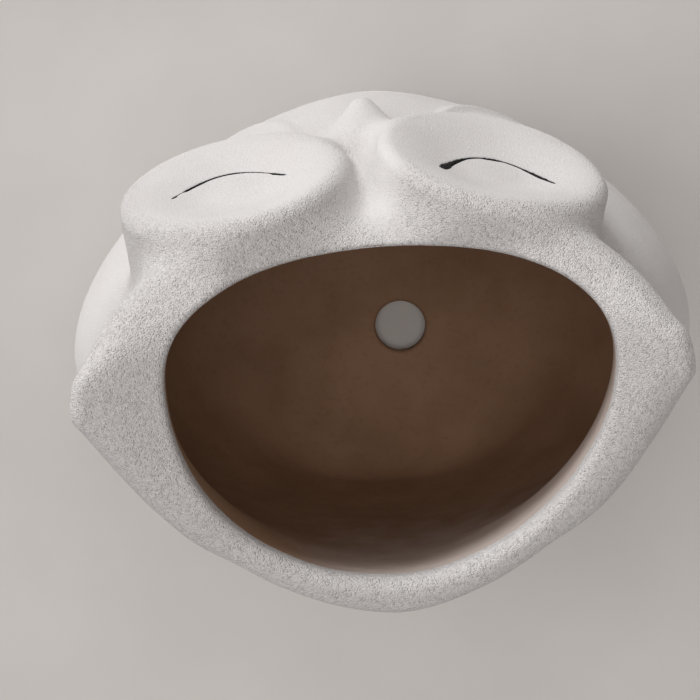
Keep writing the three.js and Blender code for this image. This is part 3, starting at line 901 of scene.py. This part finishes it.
def add_floor():
    grid = bmesh.new()
    bmesh.ops.create_grid(grid, x_segments=8, y_segments=8, size=FLOOR_REACH)
    mesh = bpy.data.meshes.new("floor")
    grid.to_mesh(mesh)
    grid.free()
    nodes = Nodes("pale floor")
    nodes.shader.inputs["Roughness"].default_value = 0.9
    mottle = nodes.ramp(nodes.noise(60.0, 3.0), 0.3, 0.7)
    colour = nodes.colour(mottle, *PALE_FLOOR)
    nodes.link(colour, nodes.shader.inputs["Base Color"])
    mesh.materials.append(nodes.material)
    floor = bpy.data.objects.new("floor", mesh)
    bpy.context.scene.collection.objects.link(floor)


# The photograph's camera: the way from the pot up to it, its roll, the mouth's middle as it sees it, and its
# focal length in widths of the picture.
CAMERA_WAY = (-1.5, -21.5, 150.0)
CAMERA_ROLL = math.radians(4.5)
CAMERA_MOUTH = (8.2, -13.3, -600.0)
CAMERA_FOCAL = 2478.0 / 700.0


def add_camera():
    """Looks down into the mouth, leaning to the owl's front, as the photograph does."""
    up = Vector(CAMERA_WAY).normalized()
    front = Vector((-math.sin(CAMERA_ROLL), math.cos(CAMERA_ROLL), 0.0))
    front = (front - front.dot(up) * up).normalized()
    across = (-front).cross(up)
    turn = Matrix((across, -front, up))
    place = Vector((0.0, 0.0, RIM_HEIGHT)) - turn @ Vector(CAMERA_MOUTH)
    data = bpy.data.cameras.new("camera")
    data.lens = CAMERA_FOCAL * data.sensor_width
    camera = bpy.data.objects.new("camera", data)
    bpy.context.scene.collection.objects.link(camera)
    camera.matrix_world = Matrix.Translation(place * MM + AXIS) @ turn.to_4x4()
    bpy.context.scene.camera = camera


# Studio light: three soft suns side by side before the owl's left cheek, a weak one behind, a soft box on the
# left and one above, and a pale sky all round. Strengths are in watts, per square metre for the suns.
COOL, NEUTRAL, WARM = (0.99, 0.99, 1.0), (1.0, 0.98, 0.97), (1.0, 0.96, 0.935)
KEY_TURNS = {"key left": 38.0, "key": 25.0, "key right": 12.0}
KEY_RISE = 0.055
KEY_ANGLE = math.radians(13.0)
KEY_STRENGTH = 0.64
BACK_ANGLE = math.radians(26.0)
BACK_STRENGTH = 0.32
BOX_AIM = Vector((0.0, 0.0, 0.1))
SKY = srgb(255, 249, 244)
SKY_STRENGTH = 0.26


def add_lamp(name, kind, direction, colour, strength):
    data = bpy.data.lights.new(name, kind)
    data.color = colour
    data.energy = strength
    lamp = bpy.data.objects.new(name, data)
    bpy.context.scene.collection.objects.link(lamp)
    lamp.rotation_mode = "QUATERNION"
    lamp.rotation_quaternion = Vector(direction).to_track_quat("Z", "Y")
    return lamp


def add_sun(name, direction, angle, strength, colour):
    add_lamp(name, "SUN", direction, colour, strength).data.angle = angle


def add_box(name, direction, distance, size, power, colour):
    lamp = add_lamp(name, "AREA", direction, colour, power)
    lamp.data.size = size
    lamp.location = AXIS + BOX_AIM + Vector(direction).normalized() * distance


def add_world():
    world = bpy.data.worlds.new("studio")
    world.use_nodes = True
    background = world.node_tree.nodes["Background"]
    background.inputs["Color"].default_value = SKY
    background.inputs["Strength"].default_value = SKY_STRENGTH
    bpy.context.scene.world = world


add_floor()
add_camera()
for key, degrees in KEY_TURNS.items():
    towards = (math.sin(math.radians(degrees)), -math.cos(math.radians(degrees)), KEY_RISE)
    add_sun(key, towards, KEY_ANGLE, KEY_STRENGTH, COOL)
add_sun("back", (-0.3, 0.95, 0.12), BACK_ANGLE, BACK_STRENGTH, NEUTRAL)
add_box("left", (0.8, -0.1, 0.6), 1.6, 1.0, 5.0, NEUTRAL)
add_box("top", (0.05, -0.1, 0.99), 1.5, 1.2, 7.8, WARM)
add_world()
bpy.context.scene.view_settings.view_transform = "Standard"
